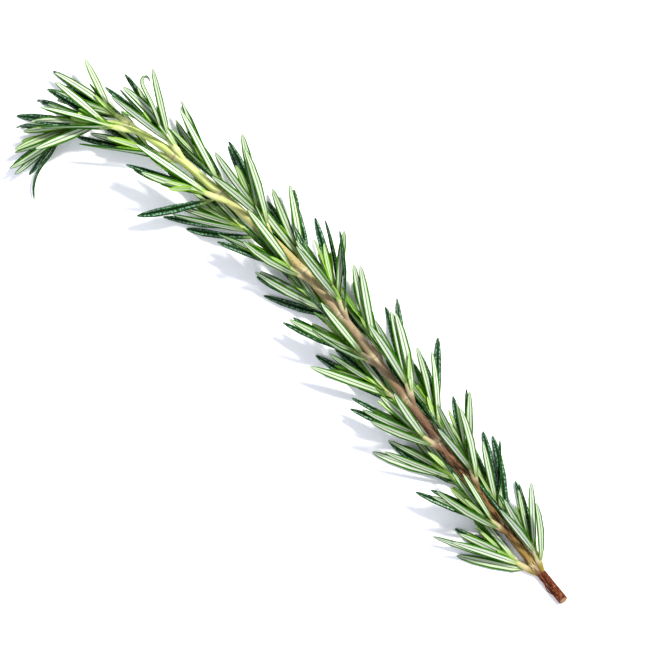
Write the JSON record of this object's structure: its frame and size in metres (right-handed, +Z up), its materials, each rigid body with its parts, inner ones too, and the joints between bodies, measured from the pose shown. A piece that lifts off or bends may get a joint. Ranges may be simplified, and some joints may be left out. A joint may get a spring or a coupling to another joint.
{
  "type": "rosemary sprig",
  "caption": "Fresh-cut rosemary sprig lying down: a woody stem with opposite tufts of narrow, pale-backed leaves and a drooping leafy tip.",
  "frame": {"origin": "middle of the small flat under the woody cut end, which rests on the surface", "axes": "+X along the sprig from the cut end towards the tip, +Y to the side that the tip droops to, +Z up off the surface"},
  "size_m": [0.2283, 0.0636, 0.0273],
  "materials": {
    "stem": "matte",
    "leaf": "satin"
  },
  "bodies": {
    "root": {"main_stem": "stem", "side_shoot_01_left": "leaf", "side_shoot_01_right": "leaf", "side_shoot_02_left": "leaf", "side_shoot_02_right": "leaf", "side_shoot_03_left": "leaf", "side_shoot_03_right": "leaf", "side_shoot_04_left": "leaf", "side_shoot_04_right": "leaf", "side_shoot_05_left": "leaf", "side_shoot_05_right": "leaf", "side_shoot_06_left": "leaf", "side_shoot_06_right": "leaf", "side_shoot_07_left": "leaf", "side_shoot_07_right": "leaf", "side_shoot_08_left": "leaf", "side_shoot_08_right": "leaf", "side_shoot_09_left": "leaf", "side_shoot_09_right": "leaf", "side_shoot_10_left": "leaf", "side_shoot_10_right": "leaf", "side_shoot_11_left": "leaf", "side_shoot_11_right": "leaf", "side_shoot_12_left": "leaf", "side_shoot_12_right": "leaf", "tip_tuft": "leaf"}
  },
  "joints": []
}
